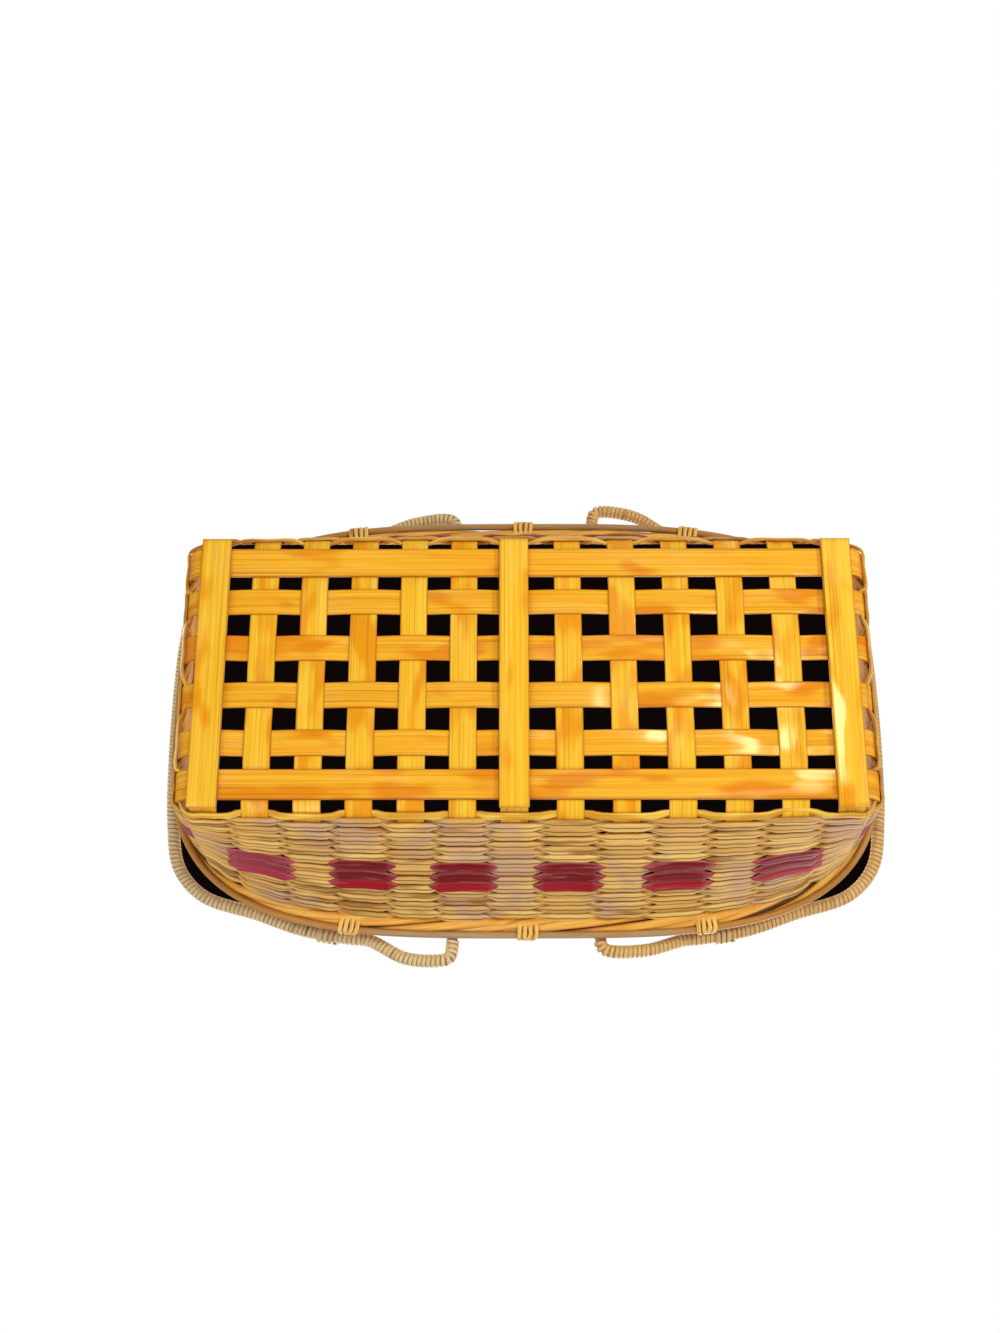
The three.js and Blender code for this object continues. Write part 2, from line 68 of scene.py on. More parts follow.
# Sizes of the splints as they show, thinner than the solids
STRIP_THICK = 0.7 * MM  # with the outer face where the solid's is
STRIP_GAP = 0.05 * MM
CROSSING_EASE = 0.6 * MM  # that a splint passes an edge by before it turns, where it runs inside
OUTER_EASE = 2.5 * MM  # and where it runs outside
STAKE_TOP = 0.985  # share of the way to the middle of the border
STAKE_POINTS = 7  # up a stake, above the bend at its foot
SPLINT_SPAN_STEPS = 10
SPLINT_STEP = 2.5 * MM
RUNNER_RINGS = 60
WIDTH_WOBBLE = 0.01
WOBBLE_WAVES = 9, 16  # range, in radians along a splint
WAVE_STARTS = 0, 6  # range, in radians

# Sizes of the reed rows
ROW_COUNT = 24
ROWS_FROM, ROWS_TO = 0.022, 0.925  # shares of the wall, from its foot to the middle of the border
DYED_ROWS = [11, 13, 15]
DYED_SPREAD = 0.12  # of the dyed rows apart, in rows
ROW_CLEARANCE = 0.5 * MM  # between a row and the stakes
ROW_STRAY = 0.1  # of a row up and down, in rows
REACH_STRAY = 0.8 * MM  # of the ends of its floats
WAIST_STRAY = 0.2  # of its narrowest height
ROW_THICKNESSES = 0.92, 1.05  # range, in shares of its style's
PINCH_SWELL = 0.25  # of its thickness where it is pinched
WIDER_INSIDE = 0.6, 1.0  # shares of the way from front to back where it widens again
STAKE_GAP = 13 * MM  # between two stakes
STAKE_SPAN_STEPS = 3
GAP_SPAN_STEPS = 8

# Where the dyed rows turn paler: distances from the middle where it starts and is full, and how far it goes
PALER_FRONT = 50 * MM, 80 * MM
PALER_RIGHT = 100 * MM, 160 * MM
PALER_LEFT = 120 * MM, 180 * MM
PALEST_RIGHT = 0.6
PALEST_LEFT = 0.15
PALEST_PINCHED = 0.7

# Sizes of the rim
BORDER_THICK = 11 * MM
BORDER_HEIGHT = 12 * MM
BORDER_TURNS = 5  # that the two bundles make round each other
BORDER_INSET = 1.4 * MM  # of the canes' middles from its sides
BORDER_CANE_WIDTH = 5.2 * MM
BORDER_CANE_THICK = 2.9 * MM
BUNDLE_CANES = 3
BUNDLE_SPREAD = math.radians(46)  # between neighbours in a bundle
CANE_WANDER = 0.16  # in radians
WANDER_WAVES = 5, 9  # range, round the rim
CORE_HEIGHT = 8.4 * MM
CORE_THICK = 7.2 * MM
HOOP_RADIUS = 2 * MM
HOOP_LEAN = math.radians(-35)  # from the border's centre to the hoop's
HOOP_BROWNED = 0.9  # at the ends of the basket
BROWNING = 70 * MM, 100 * MM  # distances from the middle where it starts and is full
RIM_POINTS = 721
RIM_STEP = 2.2 * MM

# Sizes of the bindings
CANE_WIDTH = 2.4 * MM
CANE_THICK = 0.8 * MM
CANE_PITCH = 3.1 * MM
CANE_LIFT = NEIGHBOUR_GAP + CANE_THICK / 2  # of a cane's middle above what it binds
LASHING_SPACING = 101 * MM
TIE_LEAN = 0.45  # of the two canes that cross in a lashing
KNOT_LENGTH = 4 * MM
KNOT_LIFT = 1.25 * MM  # of the knotted cane's middle above the rod
WIND_STEPS = 24  # in one turn

# Sizes of the handles, on the solids' path but slimmer
ROD_RADIUS = 2.8 * MM
ROD_STEP = 2.5 * MM
WRAP_THICK = 1 * MM
WRAP_PITCH = 2.6 * MM
WRAP_STEPS = 14  # in one turn
WRAP_CORE_STEP = 0.5 * MM
PIVOT_X = 42 * MM
WIDE_BOW = 11.4 * MM  # of the crowns of the front right and back left tails outside the hoop
CLOSE_BOW = 6.2 * MM  # of the crowns of the other two tails
ELBOW_REACH = 6 * MM
RISE_LENGTH = 42 * MM  # along the rim, from a tail's crown to the leg
RISE_BOW = 0.9  # share of its bow that a tail has half way up
LEG_OUT = 0.6 * MM
LEG_RISE = 1.6 * MM  # of the folded handle above the border's top
BIGHT_OVERHANG = 0.2 * MM
BIGHT_FLAT = 46 * MM
HANDLE_CORNER = [(0.895, 0.785), (0.967, 0.657), (0.992, 0.45)]  # shares of the hoop's half sizes
HANDLE_SPAN_STEPS = 12
WRAP_START = 2  # control of the path where the wrap begins
LASHED_POINT = 7  # control beside the lashing
WHIPPED_POINT = 7.5  # place of the whipping, counted in controls

# Sections of the strands: roundness, from 1 for an oval to 0 for a box, and number of sides
STRIP_SECTION = 0.16, 16
ROW_SECTION = 0.6, 10
BORDER_SECTION = 0.8, 8
RING_SECTION = 1.0, 8
WOUND_SECTION = 0.7, 8
ROD_SECTION = 1.0, 12
WRAP_SECTION = 0.6, 6


def middle(node):
    low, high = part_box(node)
    return np.array((low + high) / 2)


def unit(vectors):
    return vectors / np.linalg.norm(vectors, axis=-1, keepdims=True)


def rise(values, start, end):
    """How far values have come from start to end, from 0 to 1."""
    return np.clip((values - start) / (end - start), 0, 1)


def ease(values, start, end):
    """How far values have come from start to end, from 0 to 1, smoothly."""
    t = rise(values, start, end)
    return t * t * (3 - 2 * t)


# Places read from the frame
cross_nodes = [f"cross_splint_{k + 1:02d}" for k in range(CROSS_COUNT)]
splint_nodes = [f"long_splint_{r + 1}" for r in range(LONG_COUNT)]
long_nodes = ["edge_slat_front", *splint_nodes, "edge_slat_back"]
cross_x = [middle(n)[0] for n in cross_nodes]
long_y = [middle(n)[1] for n in long_nodes]
long_width = [SLAT_WIDTH if "slat" in n else SPLINT_WIDTH for n in long_nodes]
long_thick = [SLAT_THICK if "slat" in n else STRIP_THICK for n in long_nodes]
slat_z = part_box("edge_slat_front")[0].z + SLAT_THICK / 2
pivot_z = middle("pivot_knot_front_right")[2]
knot_y = abs(middle("pivot_knot_front_right")[1])

# Levels of the plaited splints, and places of the rim
upper_z = slat_z + SLAT_THICK / 2 + NEIGHBOUR_GAP + SPLINT_THICK / 2
outer_z = upper_z - SPLINT_THICK - NEIGHBOUR_GAP - (SPLINT_THICK - STRIP_THICK) / 2
inner_z = outer_z + STRIP_THICK + STRIP_GAP
over_slat_z = slat_z + (SLAT_THICK + STRIP_THICK) / 2 + STRIP_GAP
half_length, half_width = BASE_LENGTH / 2, BASE_WIDTH / 2
border_reach = math.hypot(BORDER_THICK / 2 * math.cos(HOOP_LEAN), BORDER_HEIGHT / 2 * math.sin(HOOP_LEAN))
hoop_reach = border_reach + NEIGHBOUR_GAP + HOOP_RADIUS
hoop_out = hoop_reach * math.cos(HOOP_LEAN)
hoop_up = hoop_reach * math.sin(HOOP_LEAN)
edge_x, edge_y = half_length + END_FLARE, half_width + SIDE_FLARE
rim_x = edge_x - HOOP_RADIUS - hoop_out
rim_y = edge_y - HOOP_RADIUS - hoop_out
border_z = RIM_TOP - BORDER_HEIGHT / 2


def rim_half(share, across):
    """Half the rim's size across, at a share of its other half size."""
    return across * (1 - abs(share) ** RIM_SQUARENESS) ** (1 / RIM_SQUARENESS)


def rim_out(place):
    """The rim's level outward direction at places on the border's centre line."""
    x, y = place[..., 0], place[..., 1]
    power = RIM_SQUARENESS - 1
    out = np.zeros(place.shape)
    out[..., 0] = np.sign(x) * np.abs(x / rim_x) ** power / rim_x
    out[..., 1] = np.sign(y) * np.abs(y / rim_y) ** power / rim_y
    return unit(out)


def span_shares(count):
    """Even shares of a span between two controls, from its start."""
    return np.linspace(0, 1, count, endpoint=False)


def smooth(controls, shares, closed=False):
    """Centripetal spline through rows of controls, at the same shares of every span or a list's for each.

    The first three columns of a row are a place. The others are carried along.
    """
    if closed:
        ring = np.concatenate([controls[-1:], controls, controls[:2]])
    else:
        before_first = 2 * controls[:1] - controls[1:2]
        after_last = 2 * controls[-1:] - controls[-2:-1]
        ring = np.concatenate([before_first, controls, after_last])
    reach = np.linalg.norm(np.diff(ring[:, :3], axis=0), axis=1) ** 0.5
    made = []
    for i in range(len(ring) - 3):
        a, b, c, d = ring[i : i + 4]
        before, here, after = reach[i : i + 3]
        start = here * ((b - a) / before - (c - a) / (before + here) + (c - b) / here)
        end = here * ((c - b) / here - (d - b) / (here + after) + (d - c) / after)
        t = (shares[i] if isinstance(shares, list) else shares)[:, None]
        curve = b + start * t + (3 * (c - b) - 2 * start - end) * t**2 + (2 * (b - c) + start + end) * t**3
        made.append(curve)
    if not closed:
        made.append(ring[-2:-1])
    return np.concatenate(made)


def even(rows, step):
    """Rows of values along a path, resampled at even steps of its length."""
    lengths = np.linalg.norm(np.diff(rows[:, :3], axis=0), axis=1)
    along = np.concatenate([[0], np.cumsum(lengths)])
    count = max(2, round(along[-1] / step))
    at = np.linspace(0, along[-1], count + 1)
    return np.stack([np.interp(at, along, column) for column in rows.T], axis=1)


def tangents(path):
    return unit(np.gradient(path, axis=0))


class Strands:
    """Gathers swept strands into one piece, with the attributes that the finishes read."""

    def __init__(self):
        self.points = []
        self.faces = []
        self.strand = []
        self.tone = []
        self.count = 0

    def add(self, path, wide, out, half_wide, half_thick, section, tone=0.0):
        """Sweeps a section along a path. Its half sizes and its tone may change along it."""
        roundness, sides = section
        angle = 2 * np.pi * (np.arange(sides) + 0.5) / sides
        across = np.sign(np.cos(angle)) * np.abs(np.cos(angle)) ** roundness
        depth = np.sign(np.sin(angle)) * np.abs(np.sin(angle)) ** roundness
        n = len(path)
        half_wide = np.broadcast_to(half_wide, n)[:, None, None]
        half_thick = np.broadcast_to(half_thick, n)[:, None, None]
        rings = path[:, None] + wide[:, None] * half_wide * across[None, :, None]
        rings = rings + out[:, None] * half_thick * depth[None, :, None]
        along = np.concatenate([[0], np.cumsum(np.linalg.norm(np.diff(path, axis=0), axis=1))])
        columns = [np.repeat(along, sides), np.tile(across, n), np.full(n * sides, chance.random())]
        i, j = np.meshgrid(np.arange(n - 1), np.arange(sides), indexing="ij")
        k = (j + 1) % sides
        quads = np.stack([i * sides + j, i * sides + k, (i + 1) * sides + k, (i + 1) * sides + j], axis=-1)
        start = np.arange(sides)[::-1] + self.count
        end = np.arange(sides) + (n - 1) * sides + self.count
        self.faces += (quads.reshape(-1, 4) + self.count).tolist() + [start.tolist(), end.tolist()]
        self.points.append(rings.reshape(-1, 3))
        self.strand.append(np.stack(columns, axis=1))
        self.tone.append(np.repeat(np.broadcast_to(tone, n), sides))
        self.count += n * sides

    def piece(self, name, material, body, slot, *nodes):
        """Makes the mesh object of the strands, on a body, in place of its solids."""
        mesh = bpy.data.meshes.new(name)
        mesh.from_pydata(np.concatenate(self.points).tolist(), [], self.faces)
        strand = mesh.attributes.new("strand", "FLOAT_VECTOR", "POINT")
        strand.data.foreach_set("vector", np.concatenate(self.strand).astype(np.float32).ravel())
        tone = mesh.attributes.new("tone", "FLOAT", "POINT")
        tone.data.foreach_set("value", np.concatenate(self.tone).astype(np.float32))
        mesh.polygons.foreach_set("use_smooth", np.ones(len(mesh.polygons), bool))
        mesh.materials.append(material)
        made = bpy.data.objects.new(name, mesh)
        bpy.context.scene.collection.objects.link(made)
        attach(made, body)
        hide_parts(*nodes)


class Shade:
    """A shader socket. An expression on it adds the nodes that work it out."""

    def __init__(self, tree, socket=None):
        self.tree = tree
        self.socket = socket

    def node(self, kind, settings=None, inputs=None, output=0):
        """A node of any type, with its settings made first, then the values or links of its sockets."""
        made = self.tree.nodes.new(kind)
        for key, value in (settings or {}).items():
            setattr(made, key, value)
        for key, value in (inputs or {}).items():
            self.feed(made.inputs[key], value)
        return Shade(self.tree, made.outputs[output])

    def feed(self, socket, value):
        """Links a shade to a node's socket, or sets a plain value on it."""
        if isinstance(value, Shade):
            self.tree.links.new(value.socket, socket)
        else:
            socket.default_value = value

    def math(self, operation, *values):
        return self.node("ShaderNodeMath", {"operation": operation}, dict(enumerate(values)))

    def __add__(self, other):
        return self.math("ADD", self, other)

    def __radd__(self, other):
        return self.math("ADD", other, self)

    def __sub__(self, other):
        return self.math("SUBTRACT", self, other)

    def __rsub__(self, other):
        return self.math("SUBTRACT", other, self)

    def __mul__(self, other):
        return self.math("MULTIPLY", self, other)

    def __rmul__(self, other):
        return self.math("MULTIPLY", other, self)

    def __abs__(self):
        return self.math("ABSOLUTE", self)

    def between(self, low, high):
        """How far a value has come from low to high, from 0 to 1, smoothly."""
        inputs = {"Value": self, "From Min": low, "From Max": high}
        return self.node("ShaderNodeMapRange", {"interpolation_type": "SMOOTHSTEP"}, inputs)

    def mix(self, here, there):
        """A colour between two, by this value."""
        settings = {"data_type": "RGBA"}
        return self.node("ShaderNodeMix", settings, {0: self, 6: here, 7: there}, 2)

    def noise(self, scale, detail=2.0, offset=(0, 0, 0)):
        """Noise over this vector, stretched by a scale for each axis."""
        inputs = {0: self, 1: scale, 2: offset}
        place = self.node("ShaderNodeVectorMath", {"operation": "MULTIPLY_ADD"}, inputs)
        return self.node("ShaderNodeTexNoise", None, {"Vector": place, "Scale": 1.0, "Detail": detail})

    def axes(self):
        """The three numbers of this vector, each as a value."""
        return [self.node("ShaderNodeSeparateXYZ", None, {0: self}, i) for i in range(3)]


def srgb(red, green, blue):
    """A colour given as it shows on a screen, as the linear colour of a shader."""
    shares = [c / 255 for c in (red, green, blue)]
    return [s / 12.92 if s < 0.04045 else ((s + 0.055) / 1.055) ** 2.4 for s in shares] + [1.0]


# Colours and levels that the finishes share
SLIT_BROWN = srgb(150, 80, 10)
# Painted shade along the bamboo splints' edges
EDGE_SHADE_BROWN = srgb(150, 80, 12)
# Painted shade in the reed's groove and at its edges
GROOVE_SHADE_BROWN = srgb(112, 74, 32)
# Pale pink of real worn streaks and of a painted highlight on the dyed reed's edges
WORN_AND_HIGHLIGHT_PINK = srgb(224, 156, 142)
BUMP_STRENGTH = 0.6
COAT_ROUGHNESS = 0.16
GLOSSY, WORN, DULL = 0.15, 0.05, 0.0  # weights of a cane's coat


def start_finish(name):
    """A new material, its shader, and the strand's vector: length along it, place across it, own number."""
    material = bpy.data.materials.new(name)
    material.use_nodes = True
    tree = material.node_tree
    shader = tree.nodes["Principled BSDF"]
    strand = Shade(tree).node("ShaderNodeAttribute", {"attribute_name": "strand"}, output="Vector")
    return material, shader, strand


def end_finish(strand, shader, colour, roughness, height, depth, coat=0.0, specular=0.3):
    """Feeds what varies to the shader, and sets the constants on its own sockets."""
    strand.feed(shader.inputs["Base Color"], colour)
    strand.feed(shader.inputs["Roughness"], roughness)
    strand.feed(shader.inputs["Coat Weight"], coat)
    inputs = {"Strength": BUMP_STRENGTH, "Distance": depth, "Height": height}
    strand.feed(shader.inputs["Normal"], strand.node("ShaderNodeBump", None, inputs))
    shader.inputs["Specular IOR Level"].default_value = specular
    shader.inputs["Coat Roughness"].default_value = COAT_ROUGHNESS


def tone_of(strand):
    return strand.node("ShaderNodeAttribute", {"attribute_name": "tone"}, output="Fac")


def bamboo_finish(name, pale, golden, amber):
    """Split bamboo: straight fibres, amber stains, dark slits, edges darkened brown as painted shade, varnish
    worn off in patches.
    """
    material, shader, strand = start_finish(name)
    _, across, number = strand.axes()
    fibre = strand.noise((9, 6, 91), detail=3.0)
    fine = strand.noise((16, 30, 53), detail=2.0)
    stain = strand.noise((30, 0.7, 37), detail=1.0, offset=(4, 1, 7))
    slit = strand.noise((5, 15, 71), detail=1.0, offset=(1, 5, 2)).between(0.6, 0.7)
    varnish = strand.noise((22, 0.6, 63), detail=2.0, offset=(6, 3, 9)).between(0.5, 0.6)
    edge = abs(across).between(0.88, 1.0)
    body = (fibre * 0.6 + fine * 0.4).between(0.4, 0.6).mix(golden, pale)
    stained = (stain * 0.8 + number * 0.2).between(0.47, 0.64).mix(body, amber)
    slitted = (slit * 0.5).mix(stained, SLIT_BROWN)
    # Painted shade: the edges are darkened brown for the thin shadow lines between overlapping splints
    colour = (edge * 0.65).mix(slitted, EDGE_SHADE_BROWN)
    roughness = 0.42 + fine * 0.2
    height = fibre * 0.4 + fine * 0.2 - slit * 0.6
    coat = varnish * 0.4
    end_finish(strand, shader, colour, roughness, height, depth=0.15 * MM, coat=coat, specular=0.15)
    return material


def reed_finish(name, pale, tan, brown, dust):
    """Bare reed, two to a row: fine fibres, each reed in its own tone, greyed dusty patches, painted shade in
    groove and edges.
    """
    material, shader, strand = start_finish(name)
    _, across, number = strand.axes()
    place = strand.node("ShaderNodeTexCoord", output="Object")
    fibre = strand.noise((35, 2.6, 91), detail=3.0)
    shade = strand.noise((12, 1.3, 131), detail=1.0, offset=(5, 2, 8))
    blotch = strand.noise((20, 0.5, 57), detail=2.0, offset=(3, 8, 1)).between(0.52, 0.7)
    grey = place.noise((24, 24, 24), detail=3.0).between(0.46, 0.62)
    groove = 1 - abs(across).between(0.04, 0.24)
    edge = abs(across).between(0.8, 1.0)
    body = (fibre * 0.4 + shade * 0.4 + number * 0.2).between(0.32, 0.66).mix(tan, pale)
    dusty = (grey * 0.75).mix(blotch.mix(body, brown), dust)
    # Painted shade: brown along the groove between the two reeds and at the edges, for the dark lines between
    # reeds and between rows
    colour = (groove * 0.85 + edge * 0.4).mix(dusty, GROOVE_SHADE_BROWN)
    roughness = 0.55 + fibre * 0.2
    height = fibre * 0.5 - groove
    end_finish(strand, shader, colour, roughness, height, depth=0.5 * MM, specular=0.2)
    return material


def dyed_finish(name, deep, bright, pale_dye):
    """Reed dyed dark red, worn paler in streaks, with a painted highlight of pale pink along its edges, and
    paler where the tone says.
    """
    material, shader, strand = start_finish(name)
    _, across, number = strand.axes()
    fibre = strand.noise((30, 2.6, 91), detail=3.0)
    worn = strand.noise((45, 1.5, 23), detail=3.0, offset=(2, 4, 6)).between(0.54, 0.7)
    groove = 1 - abs(across).between(0.02, 0.2)
    edge = abs(across).between(0.7, 1.0)
    body = (fibre * 0.6 + number * 0.4).between(0.3, 0.7).mix(deep, bright)
    dyed = tone_of(strand).mix(body, pale_dye)
    # The streaks are real wear; the pale pink at the edges is a painted highlight
    colour = (worn * 0.25 + edge * 0.25).mix(dyed, WORN_AND_HIGHLIGHT_PINK)
    roughness = 0.5 + fibre * 0.2
    height = fibre * 0.5 - groove
    end_finish(strand, shader, colour, roughness, height, depth=0.4 * MM, specular=0.15)
    return material


def cane_finish(name, pale, golden, brown, coat):
    """Cane: fine fibres and a hue that shifts along it, brown at its edges as painted shade, and brown where
    the tone says.
    """
    material, shader, strand = start_finish(name)
    _, across, _ = strand.axes()
    fibre = strand.noise((40, 4, 91), detail=3.0)
    shift = strand.noise((26, 0.5, 57), detail=2.0, offset=(3, 8, 1))
    edge = abs(across).between(0.7, 1.0)
    body = (fibre * 0.5 + shift * 0.5).between(0.35, 0.65).mix(golden, pale)
    shaded = shift.between(0.55, 0.8).mix(body, brown)
    # Painted shade: the edges are mixed toward brown for the dark gaps between neighbouring turns and canes
    edged = (edge * 0.45).mix(shaded, brown)
    colour = tone_of(strand).mix(edged, brown)
    roughness = 0.38 + fibre * 0.2
    end_finish(strand, shader, colour, roughness, fibre, depth=0.25 * MM, coat=coat)
    return material


yellow_bamboo = bamboo_finish("yellow_bamboo", srgb(248, 200, 58), srgb(240, 176, 28), srgb(234, 152, 10))
orange_bamboo = bamboo_finish("orange_bamboo", srgb(246, 186, 50), srgb(238, 162, 22), srgb(228, 138, 8))
foot_bamboo = bamboo_finish("foot_bamboo", srgb(252, 216, 100), srgb(244, 194, 66), srgb(222, 160, 44))
reed = reed_finish("reed", srgb(250, 206, 118), srgb(222, 166, 84), srgb(172, 116, 54), srgb(206, 164, 132))
dyed_reed = dyed_finish("dyed_reed", srgb(108, 4, 12), srgb(162, 14, 30), srgb(178, 74, 92))
border_cane = cane_finish("border_cane", srgb(244, 188, 82), srgb(222, 150, 48), srgb(160, 94, 26), GLOSSY)
tie_cane = cane_finish("tie_cane", srgb(246, 204, 116), srgb(228, 172, 76), srgb(160, 104, 40), GLOSSY)
# The border's core is a real filler; its dark browns are painted shade for the gaps between the two bundles
border_core = cane_finish("border_core", srgb(120, 70, 24), srgb(92, 50, 16), srgb(56, 30, 10), DULL)
grey_wrap = cane_finish("grey_wrap", srgb(234, 208, 160), srgb(210, 178, 124), srgb(128, 96, 60), WORN)
warm_wrap = cane_finish("warm_wrap", srgb(232, 194, 130), srgb(208, 162, 94), srgb(132, 88, 46), WORN)
whip_cane = cane_finish("whip_cane", srgb(226, 196, 140), srgb(204, 166, 104), srgb(140, 100, 54), WORN)
rattan = cane_finish("rattan", srgb(190, 166, 124), srgb(166, 140, 98), srgb(128, 102, 66), WORN)
hoop_rattan = cane_finish("hoop_rattan", srgb(180, 154, 116), srgb(156, 128, 92), srgb(182, 124, 50), WORN)


class Stake:
    """The part of a splint that stands in the wall, from its foot to the middle of the border."""

    def __init__(self, foot, foot_out, width, thick):
        self.foot = np.array([*foot, upper_z])
        self.foot_out = np.array([*foot_out, 0.0])
        self.width = width
        self.thick = thick
        if foot_out[0]:
            top = [foot_out[0] * rim_half(foot[1] / rim_y, rim_x), foot[1], border_z]
        else:
            top = [foot[0], foot_out[1] * rim_half(foot[0] / rim_x, rim_y), border_z]
        self.top = np.array(top)
        self.top_out = rim_out(self.top)
        self.length = np.linalg.norm(self.top - self.foot)

    def part_way(self, share):
        """Its centre, width direction, upward direction and outward direction, part way up."""
        at = self.foot + (self.top - self.foot) * share
        out = unit(self.foot_out + (self.top_out - self.foot_out) * share)
        wide = np.cross(UP, out)
        up = unit(self.top - self.foot)
        return at, wide, up, unit(np.cross(wide, up))

    def controls(self, flip):
        """Controls up it, past the bend at its foot: place and width direction."""
        shares = [FOOT_BEND / self.length, *np.linspace(0, STAKE_TOP, STAKE_POINTS + 1)[1:]]
        frames = [self.part_way(share) for share in shares]
        return [[*at, *(flip * wide)] for at, wide, _, _ in frames]


front = [Stake((x, -half_width), (0, -1), SPLINT_WIDTH, STRIP_THICK) for x in cross_x]
back = [Stake((x, half_width), (0, 1), SPLINT_WIDTH, STRIP_THICK) for x in cross_x]
ends = list(zip(long_y, long_width, long_thick))
right = [Stake((half_length, y), (1, 0), width, thick) for y, width, thick in ends]
left = [Stake((-half_length, y), (-1, 0), width, thick) for y, width, thick in ends]
wall = [*front, *right, *back[::-1], *left[::-1]]


# The plaited base, whose splints turn up as the stakes of the walls
def splint_piece(name, start, base, end, width, thick, material):
    """A splint from the top of one stake, through its controls in the base, to the top of the other."""
    controls = np.array([*start.controls(-1)[::-1], *base, *end.controls(1)])
    rows = even(smooth(controls, span_shares(SPLINT_SPAN_STEPS)), SPLINT_STEP)
    path, wide = rows[:, :3], unit(rows[:, 3:6])
    out = unit(np.cross(wide, tangents(path)))
    wide = unit(np.cross(tangents(path), out))
    along = np.linspace(0, 1, len(path))
    wave = np.sin(along * chance.uniform(*WOBBLE_WAVES) + chance.uniform(*WAVE_STARTS))
    half_wide = width / 2 * (1 + WIDTH_WOBBLE * wave)
    strands = Strands()
    strands.add(path, wide, out, half_wide, thick / 2, STRIP_SECTION)
    strands.piece(name, material, "basket", "bamboo", name.removesuffix("_bamboo"))


def is_slat(r):
    return r in (0, len(long_y) - 1)


def cross_splint(k, x):
    """A splint from back to front, over both slats and in and out of the four long splints."""
    base = [[x, half_width - FOOT_BEND, upper_z, 1, 0, 0]]
    for r in reversed(range(len(long_y))):
        inside = is_slat(r) or (r + k) % 2 == 1
        reach = long_width[r] / 2 + (CROSSING_EASE if inside else OUTER_EASE)
        level = inner_z if inside else outer_z
        if is_slat(r):
            level = over_slat_z
        base += [[x, long_y[r] + side * reach, level, 1, 0, 0] for side in (1, -1)]
    base.append([x, -half_width + FOOT_BEND, upper_z, 1, 0, 0])
    name = f"{cross_nodes[k]}_bamboo"
    splint_piece(name, back[k], base, front[k], SPLINT_WIDTH, STRIP_THICK, yellow_bamboo)


def long_splint(r, y):
    """A splint from end to end, in and out of the cross splints, or a slat straight under them."""
    base = []
    for k, x in enumerate(cross_x):
        if is_slat(r) and k not in (0, len(cross_x) - 1):
            continue
        outside = (r + k) % 2 == 1
        reach = SPLINT_WIDTH / 2 + (OUTER_EASE if outside else CROSSING_EASE)
        level = outer_z if outside else inner_z
        if is_slat(r):
            level = slat_z
        base += [[x + side * reach, y, level, 0, 1, 0] for side in (-1, 1)]
    name = f"{long_nodes[r]}_bamboo"
    splint_piece(name, left[r], base, right[r], long_width[r], long_thick[r], orange_bamboo)


def runner(name):
    """A straight strip across the outside of the base, as large as its solid."""
    low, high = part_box(name)
    path = np.tile(middle(name), (RUNNER_RINGS, 1))
    path[:, 1] = np.linspace(low.y, high.y, RUNNER_RINGS)
    wide = np.tile([1.0, 0, 0], (RUNNER_RINGS, 1))
    out = np.tile(-UP, (RUNNER_RINGS, 1))
    strands = Strands()
    strands.add(path, wide, out, (high.x - low.x) / 2, (high.z - low.z) / 2, STRIP_SECTION)
    strands.piece(f"{name}_bamboo", yellow_bamboo, "basket", "bamboo", name)


for k, x in enumerate(cross_x):
    cross_splint(k, x)
for r, y in enumerate(long_y):
    long_splint(r, y)
for name in ("runner_left", "runner_centre", "runner_right"):
    runner(name)


# The woven rows of the wall
@dataclass(frozen=True)
class RowStyle:
    """How a row lies round the stakes. Half heights are in rows."""

    tall: float  # half height of a float
    waist: float  # half height between two stakes
    narrows: tuple  # distances past a stake's edge between which it narrows
    reach: float  # of a float past the edges of its stake
    thick: float = 1.8 * MM
    lift: float = 0.0  # away from the stakes, in front of them and behind
    drop: float = 0.0  # below its place in the wall, in rows
    tilt: float = 0.0  # of its upper edge outward
    dyed: bool = False  # and so spread apart from the others, and paler in places


PLAIN_ROW = RowStyle(tall=0.92, waist=0.42, narrows=(2 * MM, 7 * MM), reach=2 * MM)
DYED_ROW = RowStyle(
    tall=1.2,
    waist=0.2,
    narrows=(4 * MM, 13 * MM),
    reach=10.5 * MM,
    lift=0.35 * MM,
    dyed=True,
)
FOOT_ROW = RowStyle(
    tall=0.62,
    waist=0.62,
    narrows=(0.0, STAKE_GAP),
    reach=6 * MM,
    thick=1.5 * MM,
    lift=-0.4 * MM,
    drop=0.25,
    tilt=0.3,
)


def float_reach(stake, other, style):
    """A float's reach past the edge of its stake that faces another, none where a corner lies between."""
    same_wall = stake.foot_out @ other.foot_out > 0
    return style.reach + chance.uniform(-REACH_STRAY, REACH_STRAY) if same_wall else 0.0


